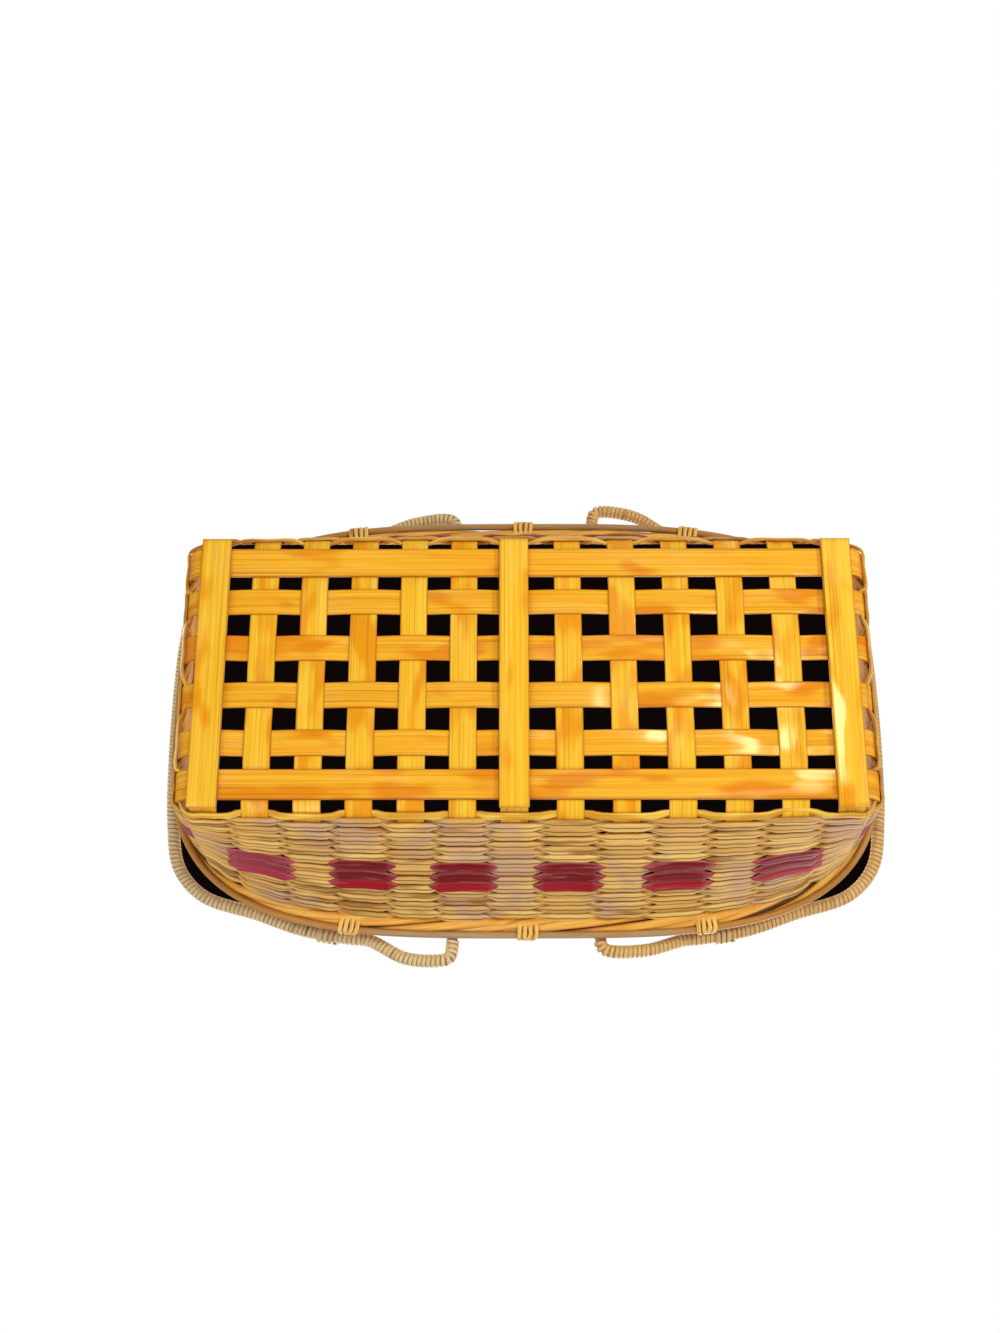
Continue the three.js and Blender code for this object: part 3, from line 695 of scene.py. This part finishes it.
def row_controls(j, style):
    """A row's controls, in front of one stake and behind the next, and the shares of the spans after them.

    A control holds a place, an upward direction, the height of a row there, the distance past the edge of
    the float's stake, and 1 if it lies behind a stake.
    """
    row_share = (ROWS_TO - ROWS_FROM) / ROW_COUNT
    share = ROWS_FROM + row_share * (j + 0.5 - style.drop)
    if style.dyed:
        share += (j - DYED_ROWS[1]) * DYED_SPREAD * row_share
    on_stake, on_gap = span_shares(STAKE_SPAN_STEPS), span_shares(GAP_SPAN_STEPS)
    controls, shares = [], []
    for i, stake in enumerate(wall):
        at, wide, up, normal = stake.part_way(share + chance.normal(0, ROW_STRAY) * row_share)
        up = unit(up + normal * style.tilt)
        depth = stake.thick / 2 + ROW_CLEARANCE + style.thick / 2 + style.lift
        half = stake.width / 2
        height = stake.length * row_share
        if (i + j) % 2 == 0:
            before = float_reach(stake, wall[i - 1], style)
            after = float_reach(stake, wall[(i + 1) % len(wall)], style)
            for past, way in ((before, -1), (-half, 0), (after, 1)):
                place = at + wide * way * (half + past) + normal * depth
                controls.append([*place, *up, height, past, 0])
            shares += [on_stake, on_stake, on_gap]
        else:
            for way in (-1, 1):
                place = at + wide * way * half - normal * depth
                controls.append([*place, *up, height, STAKE_GAP, 1])
            shares += [on_stake, on_gap]
    return np.array(controls), shares


def dye_paleness(path, pinched):
    """How much paler the dyed rows turn: most at the front right and where they are pinched, a little at the
    left.
    """
    at_right = rise(path[:, 0], *PALER_RIGHT) * rise(-path[:, 1], *PALER_FRONT)
    at_left = rise(-path[:, 0], *PALER_LEFT)
    return np.clip(PALEST_RIGHT * at_right + PALEST_LEFT * at_left + PALEST_PINCHED * pinched, 0, 1)


def add_row(strands, j, style):
    """A closed row round the wall, pinched narrow between the stakes."""
    controls, shares = row_controls(j, style)
    rows = smooth(controls, shares, closed=True)
    rows = np.concatenate([rows, rows[:1]])
    path, up = rows[:, :3], unit(rows[:, 3:6])
    height, past, inside = rows[:, 6:].T
    out = unit(np.cross(tangents(path), up))
    up = unit(np.cross(out, tangents(path)))
    pinched = ease(past, *style.narrows) * (1 - ease(inside, *WIDER_INSIDE))
    waist = style.waist * chance.uniform(1 - WAIST_STRAY, 1 + WAIST_STRAY)
    half_tall = height * (style.tall + (waist - style.tall) * pinched)
    half_thick = style.thick / 2 * (1 + PINCH_SWELL * pinched) * chance.uniform(*ROW_THICKNESSES)
    tone = dye_paleness(path, pinched) if style.dyed else 0.0
    strands.add(path, up, out, half_tall, half_thick, ROW_SECTION, tone)


def row_piece(name, rows, material, slot, node, style=PLAIN_ROW):
    strands = Strands()
    for j in rows:
        add_row(strands, j, style)
    strands.piece(name, material, "basket", slot, node)


row_piece("foot_row", [0], foot_bamboo, "bamboo", "lower_course_1", FOOT_ROW)
row_piece("lower_rows_1", range(1, 4), reed, "reed", "lower_course_1")
row_piece("lower_rows_2", range(4, 7), reed, "reed", "lower_course_2")
row_piece("lower_rows_3", range(7, 11), reed, "reed", "lower_course_3")
row_piece("dyed_rows_lower", DYED_ROWS[:2], dyed_reed, "dyed_reed", "dyed_course_1", DYED_ROW)
row_piece("dyed_rows_upper", DYED_ROWS[2:], dyed_reed, "dyed_reed", "dyed_course_2", DYED_ROW)
row_piece("band_rows", [12, 14], reed, "reed", "band_course")
row_piece("upper_rows_1", range(16, 20), reed, "reed", "upper_course_1")
row_piece("upper_rows_2", range(20, ROW_COUNT), reed, "reed", "upper_course_2")


# The border and its hoop, round the rim's centre line, counterclockwise from the right end
def rim_centre_line():
    turn = np.linspace(0, 2 * np.pi, RIM_POINTS)
    power = 2 / RIM_SQUARENESS
    x = rim_x * np.sign(np.cos(turn)) * np.abs(np.cos(turn)) ** power
    y = rim_y * np.sign(np.sin(turn)) * np.abs(np.sin(turn)) ** power
    return even(np.stack([x, y, np.full(RIM_POINTS, border_z)], axis=1), RIM_STEP)


rim_line = rim_centre_line()
rim_level = rim_out(rim_line)


def add_ring(strands, out, up, angle, half_wide, half_thick, section, tone=0.0):
    """A strand round the rim, set out and up from its centre line, its flat side facing an angle."""
    out, up, angle = (np.broadcast_to(values, len(rim_line))[:, None] for values in (out, up, angle))
    path = rim_line + rim_level * out + UP * up
    radial = rim_level * np.cos(angle) + UP * np.sin(angle)
    wide = unit(np.cross(tangents(path), radial))
    strands.add(path, wide, unit(np.cross(wide, tangents(path))), half_wide, half_thick, section, tone)


def border():
    """Two bundles of canes wound round each other, and a core that fills them, its dark brown painted shade
    in the gaps.
    """
    share = np.linspace(0, 1, len(rim_line))
    strands = Strands()
    for bundle in (0, np.pi):
        for cane in range(BUNDLE_CANES):
            spread = (cane - (BUNDLE_CANES - 1) / 2) * BUNDLE_SPREAD
            waves = 2 * np.pi * share * chance.integers(*WANDER_WAVES)
            wander = CANE_WANDER * np.sin(waves + chance.uniform(*WAVE_STARTS))
            angle = bundle + spread + wander + 2 * np.pi * BORDER_TURNS * share
            out = (BORDER_THICK / 2 - BORDER_INSET) * np.cos(angle)
            up = BORDER_HEIGHT / 2 * np.sin(angle)
            half_sizes = BORDER_CANE_WIDTH / 2, BORDER_CANE_THICK / 2
            add_ring(strands, out, up, angle, *half_sizes, BORDER_SECTION)
    strands.piece("border_canes", border_cane, "basket", "border_cane", "rim_border")
    strands = Strands()
    add_ring(strands, 0, 0, 0, CORE_HEIGHT / 2, CORE_THICK / 2, RING_SECTION)
    strands.piece("border_core", border_core, "basket", "border_cane", "rim_border")


def hoop():
    """A round cane under the border's outer edge, browned at the ends of the basket."""
    browned = HOOP_BROWNED * rise(np.abs(rim_line[:, 0]), *BROWNING)
    strands = Strands()
    add_ring(strands, hoop_out, hoop_up, 0, HOOP_RADIUS, HOOP_RADIUS, RING_SECTION, browned)
    strands.piece("hoop_rattan", hoop_rattan, "basket", "rattan", "rim_hoop")


border()
hoop()


# The bindings: lashings on the rim, whippings and knots on the handles
@dataclass(frozen=True)
class Winding:
    """How a cane is wound: its turns, the way from one to the next, and its own width and thickness."""

    turns: int
    pitch: float
    wide: float
    thick: float


LASHING_TIE = Winding(turns=2, pitch=CANE_PITCH, wide=2.6 * MM, thick=1.1 * MM)
WHIPPING = Winding(turns=3, pitch=CANE_PITCH, wide=CANE_WIDTH, thick=CANE_THICK)
KNOT = Winding(turns=2, pitch=1.3 * MM, wide=1.3 * MM, thick=2.4 * MM)


def wind(strands, winding, centre, directions, outline, lean=0.0):
    """A cane wound round an axis, where the outline lies in each direction. Its turns may lean."""
    axis, out, up = directions
    turned = np.arange(winding.turns * WIND_STEPS + 1) / WIND_STEPS
    angle = np.pi + 2 * np.pi * turned
    over = np.array([outline(math.cos(a), math.sin(a)) for a in angle])
    along = winding.pitch * (turned - winding.turns / 2) + lean * over[:, 1]
    path = centre + axis * along[:, None] + out * over[:, :1] + up * over[:, 1:]
    radial = out * np.cos(angle)[:, None] + up * np.sin(angle)[:, None]
    wide = unit(np.cross(radial, tangents(path)))
    thick = unit(np.cross(tangents(path), wide))
    strands.add(path, wide, thick, winding.wide / 2, winding.thick / 2, WOUND_SECTION)


def circle(radius):
    """The outline of a round core, for winding a cane on it."""
    return lambda cos, sin: (radius * cos, radius * sin)


def round_rim(cos, sin):
    """The place on the outline round border and hoop together that lies furthest in one direction."""
    a, b = BORDER_THICK / 2, BORDER_HEIGHT / 2
    reach_border = math.hypot(a * cos, b * sin)
    if reach_border >= hoop_out * cos + hoop_up * sin + HOOP_RADIUS:
        return a * a * cos / reach_border + CANE_LIFT * cos, b * b * sin / reach_border + CANE_LIFT * sin
    radius = HOOP_RADIUS + CANE_LIFT
    return hoop_out + radius * cos, hoop_up + radius * sin


def lashing(name, x, side):
    """Two canes that cross as they bind border and hoop together."""
    centre = np.array([x, side * rim_half(x / rim_x, rim_y), border_z])
    out = rim_out(centre)
    strands = Strands()
    for lean in (-TIE_LEAN, TIE_LEAN):
        wind(strands, LASHING_TIE, centre, (np.cross(UP, out), out, UP), round_rim, lean)
    strands.piece(f"{name}_cane", tie_cane, "basket", "border_cane", name)


for side_name, side in (("front", -1), ("back", 1)):
    for place_name, x in (("left", -LASHING_SPACING), ("middle", 0.0), ("right", LASHING_SPACING)):
        lashing(f"lashing_{side_name}_{place_name}", x, side)

# The right handle's path, folded down, as in the solids
wrap_radius = ROD_RADIUS + WRAP_THICK
pivot_y = rim_half(PIVOT_X / rim_x, rim_y)
elbow_cut = ELBOW_REACH * (1 - math.sqrt(0.5))
leg_z = RIM_TOP + LEG_RISE
crown_x = PIVOT_X + ELBOW_REACH
rise_x = crown_x + RISE_LENGTH / 2
leg_start = crown_x + RISE_LENGTH
leg_end = (LASHING_SPACING + edge_x) / 2
leg_middle = (LASHING_SPACING + leg_end) / 2


def hoop_edge(x):
    return rim_half(x / rim_x, rim_y) + hoop_out + HOOP_RADIUS


def leg_path(bow, side):
    """One leg's controls, from its end inside the border to the middle of the grip."""
    crown_y = hoop_edge(PIVOT_X) + bow
    points = [
        (PIVOT_X, knot_y - KNOT_LENGTH / 2 - NEIGHBOUR_GAP, pivot_z),
        (PIVOT_X, pivot_y, pivot_z),
        (PIVOT_X, hoop_edge(PIVOT_X) + NEIGHBOUR_GAP, pivot_z),
        (PIVOT_X + elbow_cut, crown_y - elbow_cut, pivot_z),
        (crown_x, crown_y, pivot_z),
        (rise_x, hoop_edge(rise_x) + RISE_BOW * bow, (pivot_z + leg_z) / 2),
        (leg_start, hoop_edge(leg_start) + LEG_OUT, leg_z),
        (LASHING_SPACING, hoop_edge(LASHING_SPACING) + LEG_OUT, leg_z),
        (leg_middle, hoop_edge(leg_middle) + LEG_OUT, leg_z),
        (leg_end, hoop_edge(leg_end) + LEG_OUT, leg_z),
        *[(share_x * edge_x, share_y * edge_y, leg_z) for share_x, share_y in HANDLE_CORNER],
        (edge_x + BIGHT_OVERHANG, BIGHT_FLAT / 2, leg_z),
    ]
    return np.array(points) * (1, side, 1)


handle_controls = np.concatenate([leg_path(CLOSE_BOW, 1), leg_path(WIDE_BOW, -1)[::-1]])
handle_line = smooth(handle_controls, span_shares(HANDLE_SPAN_STEPS))


# The handles. The left one is the right one turned half round
def rod_frames(path):
    """Forward, level and upward directions along a handle's path."""
    forward = tangents(path)
    across = unit(np.cross(forward, UP))
    return forward, across, np.cross(across, forward)


def handle_rod(side_name, body, line):
    path = even(line, ROD_STEP)
    _, across, upward = rod_frames(path)
    strands = Strands()
    strands.add(path, across, upward, ROD_RADIUS, ROD_RADIUS, ROD_SECTION)
    strands.piece(f"handle_rod_{side_name}_rattan", rattan, body, "rattan", f"handle_rod_{side_name}")


def handle_wrap(side_name, body, line, finish):
    """Flat cane wound close round the rod, all the way outside the hoop."""
    unwrapped = WRAP_START * HANDLE_SPAN_STEPS
    wrapped = even(line[unwrapped:-unwrapped], WRAP_CORE_STEP)
    length = np.linalg.norm(np.diff(wrapped, axis=0), axis=1).sum()
    turns = round(length / WRAP_PITCH)
    at = np.linspace(0, len(wrapped) - 1, turns * WRAP_STEPS + 1)
    core = np.stack([np.interp(at, np.arange(len(wrapped)), column) for column in wrapped.T], axis=1)
    _, across, upward = rod_frames(core)
    angle = 2 * np.pi * np.arange(len(core))[:, None] / WRAP_STEPS
    radial = across * np.cos(angle) + upward * np.sin(angle)
    path = core + radial * (wrap_radius - WRAP_THICK / 2)
    wide = unit(np.cross(tangents(path), radial))
    out = unit(np.cross(wide, tangents(path)))
    strands = Strands()
    strands.add(path, wide, out, WRAP_PITCH / 2, WRAP_THICK / 2, WRAP_SECTION)
    strands.piece(f"handle_wrap_{side_name}_cane", finish, body, "handle_cane", f"handle_wrap_{side_name}")


def whipping(name, body, line, from_start):
    """A short binding on a leg, just past the lashing, counted from the path's start or from its end."""
    spot = round(WHIPPED_POINT * HANDLE_SPAN_STEPS)
    spot = spot if from_start else len(line) - 1 - spot
    directions = [along[spot] for along in rod_frames(line)]
    strands = Strands()
    wind(strands, WHIPPING, line[spot], directions, circle(wrap_radius + CANE_LIFT))
    strands.piece(f"{name}_cane", whip_cane, body, "border_cane", name)


def pivot_knot(name, body):
    """A bound end that keeps the rod in the border."""
    directions = np.array([0.0, 1, 0]), np.array([1.0, 0, 0]), UP
    strands = Strands()
    wind(strands, KNOT, middle(name), directions, circle(ROD_RADIUS + KNOT_LIFT))
    strands.piece(f"{name}_cane", rattan, body, "rattan", name)


for side_name, side, wrap_finish in (("right", 1, grey_wrap), ("left", -1, warm_wrap)):
    body = f"handle_{side_name}"
    line = handle_line * (side, side, 1)
    handle_rod(side_name, body, line)
    handle_wrap(side_name, body, line, wrap_finish)
    for end_name, end in (("front", -1), ("back", 1)):
        whipping(f"whipping_{end_name}_{side_name}", body, line, from_start=end == side)
        pivot_knot(f"pivot_knot_{end_name}_{side_name}", body)

# Stage: a floor that shows from above, and near-black cards of painted shade that show from below, through
# holes and in the grips
FLOOR_HALF = 1.2
FLOOR_FADE = 0.35, 1.1  # distances from the middle
FLOOR_DROP = 0.5 * MM  # below the runners
BASE_CARD_RISE = 4 * MM  # above the splints
GRIP_CARD_RISE = 6 * MM  # above the handles' path
MOUTH_CARD_STEP = 6  # points of the rim's line to a corner of the card
GRIP_CARD_STEP = 4  # points of a handle's path to a corner of the card
PALE_GREY = (0.8, 0.8, 0.79, 1)
# Near-black of the painted shade cards
SHADE_BLACK = (0.004, 0.002, 0.002, 1)


def one_sided(name, surface, colour, fade=None):
    """A stage material that only a camera in front of it sees. It may fade out between two distances."""
    material = bpy.data.materials.new(name)
    material.use_nodes = True
    tree = material.node_tree
    tree.nodes.remove(tree.nodes["Principled BSDF"])
    shade = Shade(tree)
    behind = shade.node("ShaderNodeNewGeometry", output="Backfacing")
    seen = shade.node("ShaderNodeLightPath", output="Is Camera Ray")
    shown = seen * (1 - behind)
    if fade:
        place = shade.node("ShaderNodeTexCoord", output="Object")
        distance = shade.node("ShaderNodeVectorMath", {"operation": "LENGTH"}, {0: place}, "Value")
        shown = shown * (1 - distance.between(*fade))
    clear = shade.node("ShaderNodeBsdfTransparent")
    facing = shade.node(surface, None, {"Color": colour})
    mixed = shade.node("ShaderNodeMixShader", None, {0: shown, 1: clear, 2: facing})
    shade.feed(tree.nodes["Material Output"].inputs["Surface"], mixed)
    return material


def sheet(name, outline, z, faces_up, material):
    """A flat stage piece. Its outline runs counterclockwise, seen from above."""
    points = [(x, y, z) for x, y in outline]
    order = list(range(len(points)))
    mesh = bpy.data.meshes.new(name)
    mesh.from_pydata(points, [], [order if faces_up else order[::-1]])
    mesh.materials.append(material)
    made = bpy.data.objects.new(name, mesh)
    bpy.context.scene.collection.objects.link(made)


def rectangle(half_x, half_y):
    return [(-half_x, -half_y), (half_x, -half_y), (half_x, half_y), (-half_x, half_y)]


pale_floor = one_sided("pale_floor", "ShaderNodeBsdfDiffuse", PALE_GREY, FLOOR_FADE)
# Painted shade: near-black sheets seen only from below, over the base for the shaded inside seen through the
# holes, across the mouth for the dark inside, and above the grips for the shade between handles and rim
painted_shade_card = one_sided("painted_shade_card", "ShaderNodeEmission", SHADE_BLACK)
sheet("floor", rectangle(FLOOR_HALF, FLOOR_HALF), -FLOOR_DROP, True, pale_floor)
base_outline = rectangle(middle("runner_right")[0], half_width)
sheet("base_shade_card", base_outline, upper_z + BASE_CARD_RISE, False, painted_shade_card)
sheet("mouth_shade_card", rim_line[:-1:MOUTH_CARD_STEP, :2], border_z, False, painted_shade_card)
unlashed = LASHED_POINT * HANDLE_SPAN_STEPS
grip = handle_line[unlashed:-unlashed:GRIP_CARD_STEP, :2][::-1]
for side in (1, -1):
    sheet(f"grip_shade_card_{side}", grip * side, leg_z + GRIP_CARD_RISE, False, painted_shade_card)

# World and lamps
AMBIENT = 0.45


def studio_world():
    """White for the camera and in reflections, and a dimmer even light on the basket."""
    world = bpy.data.worlds.new("studio")
    bpy.context.scene.world = world
    world.use_nodes = True
    tree = world.node_tree
    shade = Shade(tree)
    rays = [f"Is {kind} Ray" for kind in ("Camera", "Glossy", "Transmission")]
    camera, glossy, through = (shade.node("ShaderNodeLightPath", output=ray) for ray in rays)
    seen = shade.math("MINIMUM", camera + glossy + through, 1.0)
    background = tree.nodes["Background"]
    background.inputs["Color"].default_value = (1, 1, 1, 1)
    shade.feed(background.inputs["Strength"], AMBIENT + seen * (1 - AMBIENT))


def lamp(name, place, aim, size, power, colour=(1, 1, 1)):
    data = bpy.data.lights.new(name, "AREA")
    data.energy = power
    data.size = size
    data.color = colour
    made = bpy.data.objects.new(name, data)
    made.location = place
    made.rotation_euler = (Vector(aim) - Vector(place)).to_track_quat("-Z", "Y").to_euler()
    bpy.context.scene.collection.objects.link(made)


studio_world()
lamp("key_below", (-0.33, 0.385, -1.11), aim=(0, 0, 0), size=0.12, power=3.5, colour=(1.0, 0.9, 0.55))
lamp("side_below", (-0.95, 0.05, -0.9), aim=(0, 0, 0), size=0.16, power=5.2)
lamp("fill_below", (0.5, -0.9, -0.9), aim=(0, 0, 0.03), size=0.8, power=6.8)
lamp("key_above", (-0.6, -0.9, 1.4), aim=(0, 0, 0.05), size=0.8, power=18.0)
lamp("fill_above", (0.9, 0.8, 1.1), aim=(0, 0, 0.05), size=1.0, power=12.0)

# The camera looks up at the base, with the front wall at the foot of the picture
OBLIQUITY = math.radians(21.99)
DISTANCE = 1.0191
CAMERA_X = 0.0113
AIM = Vector((0.0147, 0.0011, 0.0))
LENS = 49.9
SENSOR = 36


def place_camera():
    data = bpy.data.cameras.new("camera")
    data.lens = LENS
    data.sensor_width = SENSOR
    camera = bpy.data.objects.new("camera", data)
    bpy.context.scene.collection.objects.link(camera)
    camera.location = (CAMERA_X, -DISTANCE * math.sin(OBLIQUITY), -DISTANCE * math.cos(OBLIQUITY))
    look = (AIM - camera.location).normalized()
    across = look.cross(Vector((0, 1, 0))).normalized()
    camera.rotation_mode = "QUATERNION"
    camera.rotation_quaternion = Matrix((across, across.cross(look), -look)).transposed().to_quaternion()
    bpy.context.scene.camera = camera


place_camera()
bpy.context.scene.view_settings.view_transform = "Standard"

bpy.context.view_layer.update()
